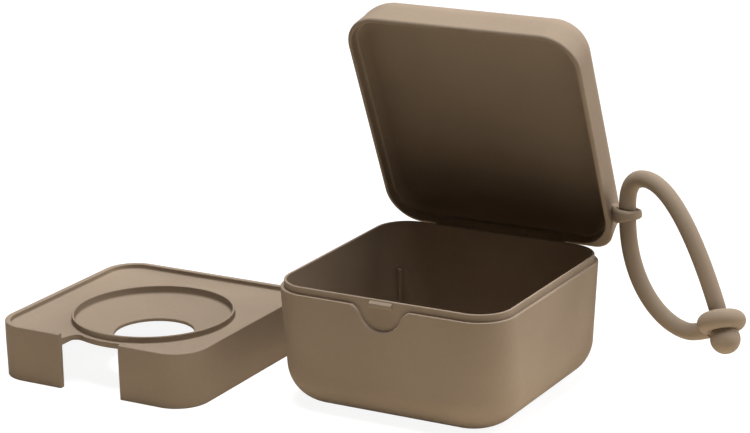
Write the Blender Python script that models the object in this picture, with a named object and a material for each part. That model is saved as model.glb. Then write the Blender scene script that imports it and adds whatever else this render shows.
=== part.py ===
"""Pacifier case: a rounded square box with a hinged lid, a lift-out tray and a carrying strap.

Metres, +Z up, front towards -Y. The origin is the middle of the flat under the base.
The lid is shown open, the tray stands beside the case, and the strap hangs in the lid's eye.
"""
import math

import bmesh
import bpy
from mathutils import Matrix, Vector

# Base
BASE_HALF_X = 0.0360
BASE_HALF_Y = 0.0364
BASE_CORNER = 0.0110
BASE_LOW_CORNER = 0.0148
BASE_FILLET = 0.0116
SEAM_HEIGHT = 0.0342
BASE_WALL = 0.0018
FLOOR_THICKNESS = 0.0020
COLLAR_INSET = 0.00105
COLLAR_RISE = 0.0019
EDGE_ROUND = 0.0003

# Thumb notch in the base's front wall, and the latch tab above it
THUMB_RADIUS = 0.0068
THUMB_DEPTH = 0.0072
THUMB_MOUTH_FILLET = 0.0045
THUMB_FLOOR_PROUD = 0.00005
TAB_WIDTH = 0.0071
TAB_PROUD = 0.0009
TAB_HEIGHT = 0.0017
TAB_TOP_SLOPE = 0.0008
TAB_END_SLOPE = 0.0006
TAB_UNDER_SLOPE = 0.0004
TAB_CLEARANCE = 0.0003

# Fins in the base's inner corners
FIN_THICKNESS = 0.0010
FIN_REACH = 0.0022
FIN_TOP = 0.0218

# Lid
LID_OVERHANG = 0.00065
LID_GAP = 0.0003
LID_CORNER = 0.0110
LID_LUG_CORNER = 0.0065
LID_TOP_CORNER = 0.0007
LID_DRAFT = 0.00066
LID_DEPTH = 0.0172
LID_FILLET = 0.0111
LID_WALL = 0.0023
LIP_WALL = 0.0014
REBATE_DEPTH = 0.0026
LID_OPEN_DEG = 66.8

# Hinge
HINGE_OUT = 0.0012
HINGE_DROP = 0.00015
BARREL_RADIUS = 0.0019
BARREL_CLEARANCE = 0.0003
PIN_RADIUS = 0.0008
PIN_CLEARANCE = 0.0002
LID_KNUCKLE_HALF = 0.0087
BASE_KNUCKLE_LENGTH = 0.0120
KNUCKLE_GAP = 0.0003
KNUCKLE_WEB = 0.0040
PIN_INSET = 0.0005

# Eye on the lid's right wall, placed on the closed lid
EYE_OUT = 0.00485
EYE_FRONT_OF_HINGE = 0.0128
EYE_RADIUS = 0.0041
EYE_HOLE_RADIUS = 0.0029
EYE_THICKNESS = 0.0026
EYE_ROOT_FRONT = 0.0006
EYE_ROOT_BACK = 0.0046
EYE_WRAP_DEG = 140.0
EYE_ABOVE_SEAM = 0.0027
EYE_TILT_DEG = 62.3

# Insert tray
TRAY_PLACE_X = -0.08606
TRAY_PLACE_Y = -0.01833
TRAY_CLEARANCE = 0.0003
TRAY_CORNER = 0.0098
TRAY_HEIGHT = 0.0164
TRAY_WALL = 0.0016
TRAY_TAPER = 0.00023
TRAY_TAPER_START = 0.0110
DECK_DROP = 0.0015
DECK_FALL = 0.0006
DECK_SLOPE_WIDTH = 0.0051
DECK_FLAT_CORNER = 0.0200
DECK_THICKNESS = 0.0016
RING_RADIUS = 0.0239
RING_WALL = 0.0007
RING_RISE = 0.0019
RING_OFF_X = 0.0018
RING_OFF_Y = -0.0030
HOLE_RADIUS = 0.0118
DISH_LIP_DROP = 0.0004
DISH_DEPTH = 0.0045
DISH_THICKNESS = 0.0010
NOTCH_WIDTH = 0.0204
NOTCH_OFF_X = 0.0001
NOTCH_ARC_RADIUS = 0.0252
NOTCH_FILLET = 0.0020
RELIEF_START = 0.0145
RELIEF_WIDTH = 0.0120
RELIEF_HEIGHT = 0.0020
RELIEF_ROUND = 0.0060

# Strap: a flat loop that stands in the lid's eye
STRAND_RADIUS = 0.00245
STRAP_TURN_DEG = -15.0
LOOP_TOP_REACH = 0.00645
LOOP_TOP_RISE = 0.01155
LOOP_LOW_REACH = 0.0220
LOOP_LOW_DROP = 0.0301
LOOP_END_REACH = 0.0304
LOOP_END_DROP = 0.0277
RING_TUBE_RADIUS = 0.0027
STRAP_RING_RADIUS = 0.00415
STRAP_RING_REACH = 0.0338
STRAP_RING_DROP = 0.0247
STRAP_RING_LEAN_DEG = 31.8
STRAP_RING_TILT_DEG = 17.0
ENTRY_LEAN_DEG = 22.7
ENTRY_ABOVE_RING = 0.0043
NECK_RADIUS = 0.0021
BALL_RADIUS = 0.00425
BALL_BELOW_RING = 0.0050
HANDLE_TOP = 0.0025
HANDLE_TOP_IN = 0.0078
HANDLE_OUTER_STRAND = 0.0092
HANDLE_RING = 0.0179
HANDLE_INNER_STRAND = 0.0199
HANDLE_LOW = 0.0095
HANDLE_END = 0.0030

# Overrun of the cutters, and how finely curves are stepped
OVERRUN = 0.0020
CORNER_STEPS = 6
FILLET_STEPS = 6
ROUND_SIDES = 32
BARREL_SIDES = 20
STRAND_SIDES = 12
STRAND_STEPS = 10

# Places that follow from the sizes above
COLLAR_TOP = SEAM_HEIGHT + COLLAR_RISE
RIM_HEIGHT = SEAM_HEIGHT + LID_GAP
LID_HALF_X = BASE_HALF_X + LID_OVERHANG
LID_HALF_Y = BASE_HALF_Y + LID_OVERHANG
HINGE_Y = BASE_HALF_Y + HINGE_OUT
HINGE_Z = SEAM_HEIGHT - HINGE_DROP
BASE_KNUCKLE_START = LID_KNUCKLE_HALF + KNUCKLE_GAP
BASE_KNUCKLE_END = BASE_KNUCKLE_START + BASE_KNUCKLE_LENGTH
WEB_MEET_RADIUS = (PIN_RADIUS + PIN_CLEARANCE + BARREL_RADIUS) / 2
DECK_HEIGHT = TRAY_HEIGHT - DECK_DROP - DECK_FALL
TRAY_HALF = BASE_HALF_X - BASE_WALL - TRAY_CLEARANCE
EYE_HEIGHT = RIM_HEIGHT + EYE_ABOVE_SEAM
EYE_X = LID_HALF_X + EYE_OUT

TAUPE = (0.392, 0.313, 0.235)
TAUPE_SOFT = (0.352, 0.278, 0.205)
STEEL = (0.55, 0.55, 0.56)


def clear_scene():
    """Remove what the new file holds."""
    for thing in list(bpy.data.objects):
        bpy.data.objects.remove(thing, do_unlink=True)


def make_material(name, color, roughness, metallic):
    """A Principled material."""
    material = bpy.data.materials.new(name)
    material.use_nodes = True
    shader = material.node_tree.nodes["Principled BSDF"]
    shader.inputs["Base Color"].default_value = (*color, 1)
    shader.inputs["Roughness"].default_value = roughness
    shader.inputs["Metallic"].default_value = metallic
    return material


def add_object(name, bm, material=None):
    """Turn a bmesh into an object with clean outward faces."""
    bmesh.ops.recalc_face_normals(bm, faces=bm.faces)
    mesh = bpy.data.meshes.new(name)
    bm.to_mesh(mesh)
    bm.free()
    item = bpy.data.objects.new(name, mesh)
    bpy.context.collection.objects.link(item)
    if material:
        mesh.materials.append(material)
        mesh.shade_smooth()
        mesh.set_sharp_from_angle(angle=math.radians(30))
    return item


def shape(target, tool_name, bm, operation):
    """Cut, join or intersect a target with a hidden tool shape made in the target's own frame."""
    tool = add_object(tool_name, bm)
    tool.parent = target
    tool.hide_render = True
    tool.display_type = "WIRE"
    step = target.modifiers.new(tool_name, "BOOLEAN")
    step.operation = operation
    step.solver = "EXACT"
    step.object = tool
    return tool


def ring_edges(bm, points):
    """A closed loop of edges through the points."""
    verts = [bm.verts.new(point) for point in points]
    return [bm.edges.new((verts[i], verts[i - 1])) for i in range(len(verts))]


def skin(rings):
    """A closed body: walls from ring of points to ring of points, with a flat cap at both ends."""
    bm = bmesh.new()
    loops = [[bm.verts.new(point) for point in ring] for ring in rings]
    for lower, upper in zip(loops, loops[1:]):
        for number in range(len(lower)):
            bm.faces.new((lower[number - 1], lower[number], upper[number], upper[number - 1]))
    bm.faces.new(loops[0])
    bm.faces.new(loops[-1])
    return bm


def rounded_ring(half_x, half_y, corner, z, back_right=None):
    """The points of a level rounded rectangle, whose back right corner may have its own radius."""
    points = []
    for quarter, (sx, sy) in enumerate(((1, 1), (-1, 1), (-1, -1), (1, -1))):
        radius = back_right if back_right and quarter == 0 else corner
        middle = Vector((sx * (half_x - radius), sy * (half_y - radius), z))
        for step in range(CORNER_STEPS + 1):
            turn = math.pi / 2 * (quarter + step / CORNER_STEPS)
            points.append(middle + radius * Vector((math.cos(turn), math.sin(turn), 0)))
    return points


def loft(sections):
    """A closed body through level rounded rectangles, given as rounded_ring takes them."""
    return skin([rounded_ring(*section) for section in sections])


def prism(outline, direction):
    """A closed body: a flat outline pushed along a direction."""
    bm = bmesh.new()
    face = bm.faces.new([bm.verts.new(point) for point in outline])
    made = bmesh.ops.extrude_face_region(bm, geom=[face], use_keep_orig=True)
    moved = [part for part in made["geom"] if isinstance(part, bmesh.types.BMVert)]
    bmesh.ops.translate(bm, verts=moved, vec=direction)
    return bm


def block(low, high):
    """A box between two corners."""
    bm = bmesh.new()
    size = Vector(high) - Vector(low)
    middle = (Vector(high) + Vector(low)) / 2
    bmesh.ops.create_cube(bm, size=1, matrix=Matrix.Translation(middle) @ Matrix.Diagonal((*size, 1)))
    return bm


def rod(start, end, radius, sides):
    """A round bar between two points."""
    start, end = Vector(start), Vector(end)
    turn = (end - start).to_track_quat("Z", "Y").to_matrix().to_4x4()
    place = Matrix.Translation((start + end) / 2) @ turn
    bm = bmesh.new()
    bmesh.ops.create_cone(bm, cap_ends=True, segments=sides, radius1=radius, radius2=radius,
                          depth=(end - start).length, matrix=place)
    return bm


def turned(profile, middle):
    """A ring turned about a vertical axis from a closed (radius, height) profile."""
    bm = bmesh.new()
    edges = ring_edges(bm, [Vector((middle[0] + radius, middle[1], z)) for radius, z in profile])
    verts = list({vert for edge in edges for vert in edge.verts})
    bmesh.ops.spin(bm, geom=verts + edges, cent=(*middle, 0), axis=(0, 0, 1), angle=math.tau,
                   steps=ROUND_SIDES, use_merge=True)
    return bm


def fillet_sections(half_x, half_y, corner, end_corner, start_z, radius, towards):
    """Sections of a quarter-round edge that turns inwards, going up (1) or down (-1)."""
    sections = []
    for step in range(FILLET_STEPS + 1):
        turn = math.pi / 2 * step / FILLET_STEPS
        share = 1 - math.cos(turn)
        inset = radius * share
        z = start_z + towards * radius * math.sin(turn)
        sections.append((half_x - inset, half_y - inset, corner + (end_corner - corner) * share, z))
    return sections


def base_outer(inset):
    """The base's outer sections from the seam down, moved inwards by an inset."""
    wall = [(BASE_HALF_X - inset, BASE_HALF_Y - inset, BASE_CORNER - inset, SEAM_HEIGHT)]
    return wall + fillet_sections(BASE_HALF_X - inset, BASE_HALF_Y - inset, BASE_LOW_CORNER - inset,
                                  BASE_LOW_CORNER - BASE_FILLET, BASE_FILLET, BASE_FILLET - inset, -1)


def base_inner():
    """The base's inner sections from the collar's top down to the floor."""
    half_x, half_y = BASE_HALF_X - BASE_WALL, BASE_HALF_Y - BASE_WALL
    corner, low_corner = BASE_CORNER - BASE_WALL, BASE_LOW_CORNER - BASE_WALL
    fillet = BASE_FILLET - FLOOR_THICKNESS
    wall = [(half_x + EDGE_ROUND, half_y + EDGE_ROUND, corner + EDGE_ROUND, COLLAR_TOP),
            (half_x, half_y, corner, COLLAR_TOP - EDGE_ROUND)]
    return wall + fillet_sections(half_x, half_y, low_corner, low_corner - fillet, BASE_FILLET, fillet, -1)


def collar_sections():
    """The collar's outer sections, from the shelf up."""
    half_x, half_y = BASE_HALF_X - COLLAR_INSET, BASE_HALF_Y - COLLAR_INSET
    corner = BASE_CORNER - COLLAR_INSET
    return [(half_x, half_y, corner, SEAM_HEIGHT),
            (half_x, half_y, corner, COLLAR_TOP - EDGE_ROUND),
            (half_x - EDGE_ROUND, half_y - EDGE_ROUND, corner - EDGE_ROUND, COLLAR_TOP)]


def thumb_outline(y):
    """The thumb notch on the front wall: a round bottom that opens into the seam."""
    middle_z = SEAM_HEIGHT - THUMB_DEPTH + THUMB_RADIUS
    fillet_z = SEAM_HEIGHT - THUMB_MOUTH_FILLET
    span = THUMB_RADIUS + THUMB_MOUTH_FILLET
    fillet_x = math.sqrt(span ** 2 - (fillet_z - middle_z) ** 2)
    meet = math.atan2(fillet_z - middle_z, fillet_x)
    right = [Vector((fillet_x, y, SEAM_HEIGHT + COLLAR_RISE))]
    for step in range(FILLET_STEPS + 1):
        turn = math.pi / 2 + (math.pi / 2 + meet) * step / FILLET_STEPS
        right.append(Vector((fillet_x + THUMB_MOUTH_FILLET * math.cos(turn), y,
                             fillet_z + THUMB_MOUTH_FILLET * math.sin(turn))))
    for step in range(1, ROUND_SIDES // 2):
        turn = meet - (math.pi / 2 + meet) * 2 * step / ROUND_SIDES
        right.append(Vector((THUMB_RADIUS * math.cos(turn), y, middle_z + THUMB_RADIUS * math.sin(turn))))
    bottom = [Vector((0, y, SEAM_HEIGHT - THUMB_DEPTH))]
    left = [Vector((-point.x, point.y, point.z)) for point in reversed(right)]
    return right + bottom + left


def latch_tab():
    """The latch tab: a bar with sloped edges on the collar's front."""
    root_y = -BASE_HALF_Y + COLLAR_INSET
    half = TAB_WIDTH / 2
    bottom, top = COLLAR_TOP - TAB_HEIGHT, COLLAR_TOP - EDGE_ROUND / 2
    bm = block((-half, root_y - TAB_PROUD, bottom), (half, root_y + 2 * EDGE_ROUND, top))
    front = [vert for vert in bm.verts if vert.co.y < root_y]
    for vert in front:
        vert.co.x -= math.copysign(TAB_END_SLOPE, vert.co.x)
        vert.co.z += TAB_UNDER_SLOPE if vert.co.z < (bottom + top) / 2 else -TAB_TOP_SLOPE
    return bm


def corner_fins():
    """Thin upright fins across the four inner corners."""
    bm = bmesh.new()
    corner = BASE_CORNER - BASE_WALL
    share = 1 - math.cos(math.pi / 4)
    length = 2 * (FIN_REACH + BASE_WALL)
    for sx, sy in ((1, 1), (-1, 1), (-1, -1), (1, -1)):
        reach_x = BASE_HALF_X - BASE_WALL - corner * share
        reach_y = BASE_HALF_Y - BASE_WALL - corner * share
        inward = (FIN_REACH - length / 2) * math.cos(math.pi / 4)
        spot = Vector((sx * (reach_x - inward), sy * (reach_y - inward), FIN_TOP / 2))
        turn = Matrix.Rotation(math.atan2(sy, sx), 4, "Z")
        size = Matrix.Diagonal((length, FIN_THICKNESS, FIN_TOP, 1))
        bmesh.ops.create_cube(bm, size=1, matrix=Matrix.Translation(spot) @ turn @ size)
    return bm


def knuckle(start, end, web_outline):
    """A hinge barrel between two x positions with a web that carries it, about the hinge axis."""
    barrel = rod((start, 0, 0), (end, 0, 0), BARREL_RADIUS, BARREL_SIDES)
    web = prism([Vector((start + EDGE_ROUND, y, z)) for y, z in web_outline],
                Vector((end - start - 2 * EDGE_ROUND, 0, 0)))
    return barrel, web


def base_web():
    """Outline of the web under a base knuckle, from the hinge axis."""
    slant = WEB_MEET_RADIUS * math.cos(math.pi / 4)
    return ((-HINGE_OUT - EDGE_ROUND, -KNUCKLE_WEB), (-HINGE_OUT, -KNUCKLE_WEB), (slant, -slant), (0, 0),
            (-HINGE_OUT - EDGE_ROUND, 0))


def lid_web():
    """Outline of the web over the lid knuckle, from the hinge axis."""
    slant = WEB_MEET_RADIUS * math.cos(math.pi / 4)
    wall = LID_HALF_Y - HINGE_Y
    rim = RIM_HEIGHT - HINGE_Z
    return ((0, 0), (slant, slant), (wall, rim + KNUCKLE_WEB), (wall - LIP_WALL / 2, rim + KNUCKLE_WEB),
            (wall - LIP_WALL / 2, rim))


def make_base(material):
    """The lower shell with its collar, notch, tab, fins and outer knuckles."""
    outside = list(reversed(base_outer(0))) + collar_sections()
    base = add_object("base", loft(outside + base_inner()), material)
    front = -BASE_HALF_Y - OVERRUN
    face = -BASE_HALF_Y + COLLAR_INSET - THUMB_FLOOR_PROUD
    shape(base, "tool_thumb", prism(thumb_outline(front), Vector((0, face - front, 0))), "DIFFERENCE")
    shape(base, "tool_tab", latch_tab(), "UNION")
    fins = add_object("tool_fins", corner_fins())
    core = base_outer(BASE_WALL / 2)
    shape(fins, "tool_core", loft(core), "INTERSECT")
    fins.parent = base
    fins.hide_render = True
    fins.display_type = "WIRE"
    step = base.modifiers.new("tool_fins", "BOOLEAN")
    step.operation = "UNION"
    step.object = fins
    hinge = Matrix.Translation((0, HINGE_Y, HINGE_Z))
    clear = rod((-LID_KNUCKLE_HALF - 2 * KNUCKLE_GAP, HINGE_Y, HINGE_Z),
                (LID_KNUCKLE_HALF + 2 * KNUCKLE_GAP, HINGE_Y, HINGE_Z),
                BARREL_RADIUS + BARREL_CLEARANCE, BARREL_SIDES)
    shape(base, "tool_hinge_room", clear, "DIFFERENCE")
    for side, start in (("left", -BASE_KNUCKLE_END), ("right", BASE_KNUCKLE_START)):
        barrel, web = knuckle(start, start + BASE_KNUCKLE_LENGTH, base_web())
        bmesh.ops.transform(barrel, matrix=hinge, verts=barrel.verts)
        bmesh.ops.transform(web, matrix=hinge, verts=web.verts)
        shape(base, "tool_base_barrel_" + side, barrel, "UNION")
        shape(base, "tool_base_web_" + side, web, "UNION")
    bore = rod((-BASE_KNUCKLE_END - OVERRUN, HINGE_Y, HINGE_Z), (BASE_KNUCKLE_END + OVERRUN, HINGE_Y, HINGE_Z),
               PIN_RADIUS + PIN_CLEARANCE, BARREL_SIDES)
    shape(base, "tool_base_bore", bore, "DIFFERENCE")
    return base


def lid_outer():
    """The lid's outer sections from the rim up to the top: the corner behind the eye is squarer."""
    half_x, half_y = LID_HALF_X - LID_DRAFT, LID_HALF_Y - LID_DRAFT
    rim = [(LID_HALF_X - EDGE_ROUND, LID_HALF_Y - EDGE_ROUND, LID_CORNER - EDGE_ROUND, RIM_HEIGHT),
           (LID_HALF_X, LID_HALF_Y, LID_CORNER, RIM_HEIGHT + EDGE_ROUND)]
    start = RIM_HEIGHT + LID_DEPTH - LID_FILLET
    wall = rim + fillet_sections(half_x, half_y, LID_CORNER, LID_TOP_CORNER, start, LID_FILLET, 1)
    return [(*section, section[2] * LID_LUG_CORNER / LID_CORNER) for section in wall]


def lid_inner():
    """The lid's inner sections from the rim through the rebate to the ceiling."""
    lip_x, lip_y, lip_corner = LID_HALF_X - LIP_WALL, LID_HALF_Y - LIP_WALL, LID_CORNER - LIP_WALL
    wall_x, wall_y, wall_corner = LID_HALF_X - LID_WALL, LID_HALF_Y - LID_WALL, LID_CORNER - LID_WALL
    ledge = RIM_HEIGHT + REBATE_DEPTH
    start = RIM_HEIGHT + LID_DEPTH - LID_FILLET
    rebate = [(lip_x, lip_y, lip_corner, RIM_HEIGHT), (lip_x, lip_y, lip_corner, ledge),
              (wall_x, wall_y, wall_corner, ledge)]
    return rebate + fillet_sections(wall_x - LID_DRAFT, wall_y - LID_DRAFT, wall_corner, LID_TOP_CORNER,
                                    start, LID_FILLET - LID_WALL, 1)


def eye_frame():
    """The eye's place and turn on the closed lid: its hole runs along the frame's z."""
    turn = Matrix.Rotation(math.radians(EYE_TILT_DEG), 4, "X")
    return Matrix.Translation((EYE_X, HINGE_Y - EYE_FRONT_OF_HINGE, EYE_HEIGHT)) @ turn


def eye_outline():
    """The eye's flat outline: a round end and a root in the lid's wall that stays above the rim."""
    low = -EYE_THICKNESS / 2
    root_x = -EYE_OUT - LID_WALL / 2
    points = [Vector((root_x, -EYE_ROOT_FRONT, low)), Vector((-EYE_OUT, -EYE_ROOT_FRONT, low))]
    first = -math.radians(EYE_WRAP_DEG)
    for step in range(ROUND_SIDES // 2 + 1):
        turn = first + (math.pi / 2 - first) * 2 * step / ROUND_SIDES
        points.append(Vector((EYE_RADIUS * math.cos(turn), EYE_RADIUS * math.sin(turn), low)))
    return points + [Vector((root_x, EYE_ROOT_BACK, low))]


def make_lid(material):
    """The upper shell with its rebate, catch notch, middle knuckle and strap eye."""
    lid = add_object("lid", loft(list(reversed(lid_outer())) + lid_inner()), material)
    half = TAB_WIDTH / 2 + TAB_CLEARANCE
    lip_face = -LID_HALF_Y + LIP_WALL
    tab_front = -BASE_HALF_Y + COLLAR_INSET - TAB_PROUD
    notch = block((-half, tab_front - TAB_CLEARANCE, RIM_HEIGHT - OVERRUN),
                  (half, lip_face + TAB_CLEARANCE, COLLAR_TOP + TAB_CLEARANCE))
    shape(lid, "tool_catch_notch", notch, "DIFFERENCE")
    for side, start in (("left", -BASE_KNUCKLE_END), ("right", BASE_KNUCKLE_START)):
        room = rod((start - 2 * KNUCKLE_GAP, HINGE_Y, HINGE_Z),
                   (start + BASE_KNUCKLE_LENGTH + 2 * KNUCKLE_GAP, HINGE_Y, HINGE_Z),
                   BARREL_RADIUS + BARREL_CLEARANCE, BARREL_SIDES)
        shape(lid, "tool_lid_room_" + side, room, "DIFFERENCE")
    hinge = Matrix.Translation((0, HINGE_Y, HINGE_Z))
    barrel, web = knuckle(-LID_KNUCKLE_HALF, LID_KNUCKLE_HALF, lid_web())
    bmesh.ops.transform(barrel, matrix=hinge, verts=barrel.verts)
    bmesh.ops.transform(web, matrix=hinge, verts=web.verts)
    shape(lid, "tool_lid_barrel", barrel, "UNION")
    shape(lid, "tool_lid_web", web, "UNION")
    bore = rod((-LID_KNUCKLE_HALF - OVERRUN, HINGE_Y, HINGE_Z), (LID_KNUCKLE_HALF + OVERRUN, HINGE_Y, HINGE_Z),
               PIN_RADIUS + PIN_CLEARANCE, BARREL_SIDES)
    shape(lid, "tool_lid_bore", bore, "DIFFERENCE")
    eye = prism(eye_outline(), Vector((0, 0, EYE_THICKNESS)))
    bmesh.ops.transform(eye, matrix=eye_frame(), verts=eye.verts)
    shape(lid, "tool_eye", eye, "UNION")
    hole = rod((0, 0, -EYE_THICKNESS), (0, 0, EYE_THICKNESS), EYE_HOLE_RADIUS, ROUND_SIDES)
    bmesh.ops.transform(hole, matrix=eye_frame(), verts=hole.verts)
    shape(lid, "tool_eye_hole", hole, "DIFFERENCE")
    return lid


def tray_sections():
    """The tray's shell: up the outside of the skirt, over the rim, down to the sloping deck."""
    low, low_corner = TRAY_HALF - TRAY_TAPER, TRAY_CORNER - TRAY_TAPER
    inner, inner_corner = TRAY_HALF - TRAY_WALL, TRAY_CORNER - TRAY_WALL
    under = DECK_HEIGHT - DECK_THICKNESS
    flat = inner - DECK_SLOPE_WIDTH
    return [(inner - TRAY_TAPER, inner - TRAY_TAPER, inner_corner - TRAY_TAPER, under),
            (inner - TRAY_TAPER, inner - TRAY_TAPER, inner_corner - TRAY_TAPER, 0),
            (low, low, low_corner, 0),
            (TRAY_HALF, TRAY_HALF, TRAY_CORNER, TRAY_TAPER_START),
            (TRAY_HALF, TRAY_HALF, TRAY_CORNER, TRAY_HEIGHT - EDGE_ROUND),
            (TRAY_HALF - EDGE_ROUND, TRAY_HALF - EDGE_ROUND, TRAY_CORNER - EDGE_ROUND, TRAY_HEIGHT),
            (inner, inner, inner_corner, TRAY_HEIGHT),
            (inner, inner, inner_corner, DECK_HEIGHT + DECK_FALL),
            (flat, flat, DECK_FLAT_CORNER, DECK_HEIGHT)]


def dish_profile():
    """The ring wall and the dish inside it, as a closed (radius, height) profile."""
    inner = RING_RADIUS - RING_WALL
    top = DECK_HEIGHT + RING_RISE
    hole_z = DECK_HEIGHT - DISH_DEPTH
    return ((RING_RADIUS, DECK_HEIGHT - DECK_THICKNESS / 2), (RING_RADIUS, top - EDGE_ROUND),
            (RING_RADIUS - EDGE_ROUND, top), (inner + EDGE_ROUND, top), (inner, top - EDGE_ROUND),
            (inner, DECK_HEIGHT - DISH_LIP_DROP), (HOLE_RADIUS + EDGE_ROUND, hole_z),
            (HOLE_RADIUS, hole_z - EDGE_ROUND), (HOLE_RADIUS, hole_z - DISH_THICKNESS),
            (inner, DECK_HEIGHT - DISH_LIP_DROP - DISH_THICKNESS))


def notch_outline(z):
    """The front notch seen from above: it ends on an arc round the ring, with rounded inner corners."""
    front = -TRAY_HALF - OVERRUN
    span = NOTCH_ARC_RADIUS + NOTCH_FILLET
    halves = []
    for side in (-1, 1):
        edge_x = NOTCH_OFF_X + side * NOTCH_WIDTH / 2
        middle_x = edge_x - side * NOTCH_FILLET
        middle_y = RING_OFF_Y - math.sqrt(span ** 2 - (middle_x - RING_OFF_X) ** 2)
        end = math.atan2(RING_OFF_Y - middle_y, side * (RING_OFF_X - middle_x))
        points = [Vector((edge_x, front, z))]
        for step in range(CORNER_STEPS + 1):
            turn = end * step / CORNER_STEPS
            points.append(Vector((middle_x + side * NOTCH_FILLET * math.cos(turn),
                                  middle_y + NOTCH_FILLET * math.sin(turn), z)))
        halves.append((points, math.atan2(middle_y - RING_OFF_Y, middle_x - RING_OFF_X)))
    (left, left_turn), (right, right_turn) = halves
    arc = []
    for step in range(1, CORNER_STEPS):
        turn = left_turn + (right_turn - left_turn) * step / CORNER_STEPS
        arc.append(Vector((RING_OFF_X + NOTCH_ARC_RADIUS * math.cos(turn),
                           RING_OFF_Y + NOTCH_ARC_RADIUS * math.sin(turn), z)))
    return left + arc + list(reversed(right))


def relief_outline(side, y):
    """A low relief under the back of the skirt, with rounded ends, on one side of the tray."""
    reach = math.acos(1 - RELIEF_HEIGHT / RELIEF_ROUND)
    near = RELIEF_START
    far = RELIEF_START + RELIEF_WIDTH
    points = [Vector((side * near, y, -OVERRUN))]
    for step in range(FILLET_STEPS + 1):
        turn = reach * step / FILLET_STEPS
        points.append(Vector((side * (near + RELIEF_ROUND * math.sin(turn)), y,
                              RELIEF_ROUND * (1 - math.cos(turn)))))
    for step in range(FILLET_STEPS, -1, -1):
        turn = reach * step / FILLET_STEPS
        points.append(Vector((side * (far - RELIEF_ROUND * math.sin(turn)), y,
                              RELIEF_ROUND * (1 - math.cos(turn)))))
    return points + [Vector((side * far, y, -OVERRUN))]


def make_tray(material):
    """The lift-out tray with its ring, dish and hole, standing beside the case."""
    tray = add_object("insert_tray", loft(tray_sections()), material)
    tray.location = (TRAY_PLACE_X, TRAY_PLACE_Y, 0)
    ring = (RING_OFF_X, RING_OFF_Y)
    opening = rod((*ring, DECK_HEIGHT - DECK_THICKNESS - OVERRUN), (*ring, TRAY_HEIGHT),
                  RING_RADIUS - RING_WALL / 2, ROUND_SIDES)
    shape(tray, "tool_tray_opening", opening, "DIFFERENCE")
    shape(tray, "tool_dish", turned(dish_profile(), ring), "UNION")
    notch = prism(notch_outline(-OVERRUN), Vector((0, 0, TRAY_HEIGHT + 2 * OVERRUN)))
    shape(tray, "tool_tray_notch", notch, "DIFFERENCE")
    for side, name in ((-1, "left"), (1, "right")):
        relief = prism(relief_outline(side, TRAY_HALF - TRAY_WALL - OVERRUN),
                       Vector((0, TRAY_WALL + 2 * OVERRUN, 0)))
        shape(tray, "tool_relief_" + name, relief, "DIFFERENCE")
    return tray


def curve_points(start, start_handle, end_handle, end):
    """Points along one smooth span, without its last point."""
    points = []
    for step in range(STRAND_STEPS):
        t = step / STRAND_STEPS
        u = 1 - t
        points.append(u ** 3 * start + 3 * u * u * t * start_handle + 3 * u * t * t * end_handle + t ** 3 * end)
    return points


def strap_route():
    """The strand's middle line in the loop's plane: x away from the eye, y up."""
    lean = math.radians(ENTRY_LEAN_DEG)
    along = Vector((math.sin(lean), -math.cos(lean)))
    lower_end = Vector((LOOP_END_REACH, -LOOP_END_DROP))
    low = Vector((LOOP_LOW_REACH, -LOOP_LOW_DROP))
    eye = Vector((0, 0))
    top = Vector((LOOP_TOP_REACH, LOOP_TOP_RISE))
    ring = Vector((STRAP_RING_REACH, -STRAP_RING_DROP))
    entry = ring - along * ENTRY_ABOVE_RING
    flat, rise = Vector((1, 0)), Vector((0, 1))
    end_way = (lower_end - low).normalized()
    points = curve_points(lower_end, lower_end - end_way * HANDLE_END, low + flat * HANDLE_END, low)
    points += curve_points(low, low - flat * HANDLE_LOW, eye - rise * HANDLE_INNER_STRAND, eye)
    points += curve_points(eye, eye + rise * HANDLE_TOP, top - flat * HANDLE_TOP_IN, top)
    points += curve_points(top, top + flat * HANDLE_OUTER_STRAND, entry - along * HANDLE_RING, entry)
    return points + [entry], ring, along


def ring_axis():
    """The way through the ring to the ball, which leans out of the loop's plane."""
    lean, tilt = math.radians(STRAP_RING_LEAN_DEG), math.radians(STRAP_RING_TILT_DEG)
    return Vector((math.sin(lean) * math.cos(tilt), -math.sin(tilt), -math.cos(lean) * math.cos(tilt)))


def make_strap(material, eye_place):
    """The strap: a round strand, a ring at one end and a ball that has been pushed through it."""
    points, ring, along = strap_route()
    strap = bpy.data.objects.new("strap", bpy.data.meshes.new("strap"))
    bm = sweep([(point, STRAND_RADIUS) for point in points]
               + [(ring - along * RING_TUBE_RADIUS, NECK_RADIUS), (ring + along * NECK_RADIUS, NECK_RADIUS)])
    bmesh.ops.recalc_face_normals(bm, faces=bm.faces)
    bm.to_mesh(strap.data)
    bm.free()
    bpy.context.collection.objects.link(strap)
    strap.data.materials.append(material)
    strap.data.shade_smooth()
    strap.data.set_sharp_from_angle(angle=math.radians(45))
    strap.location = eye_place
    strap.rotation_euler = (0, 0, math.radians(STRAP_TURN_DEG))
    ring_spot = Vector((ring.x, 0, ring.y))
    ball_spot = ring_spot + ring_axis() * BALL_BELOW_RING
    ring_turn = ring_axis().to_track_quat("Z", "Y").to_matrix().to_4x4()
    ring_place = Matrix.Translation(ring_spot) @ ring_turn
    shape(strap, "tool_strap_ring", torus(STRAP_RING_RADIUS, RING_TUBE_RADIUS, ring_place), "UNION")
    shape(strap, "tool_strap_neck", rod(ring_spot, ball_spot, NECK_RADIUS, STRAND_SIDES), "UNION")
    ball = bmesh.new()
    bmesh.ops.create_uvsphere(ball, u_segments=16, v_segments=10, radius=BALL_RADIUS,
                              matrix=Matrix.Translation(ball_spot) @ ring_turn)
    shape(strap, "tool_strap_ball", ball, "UNION")
    return strap


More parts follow.
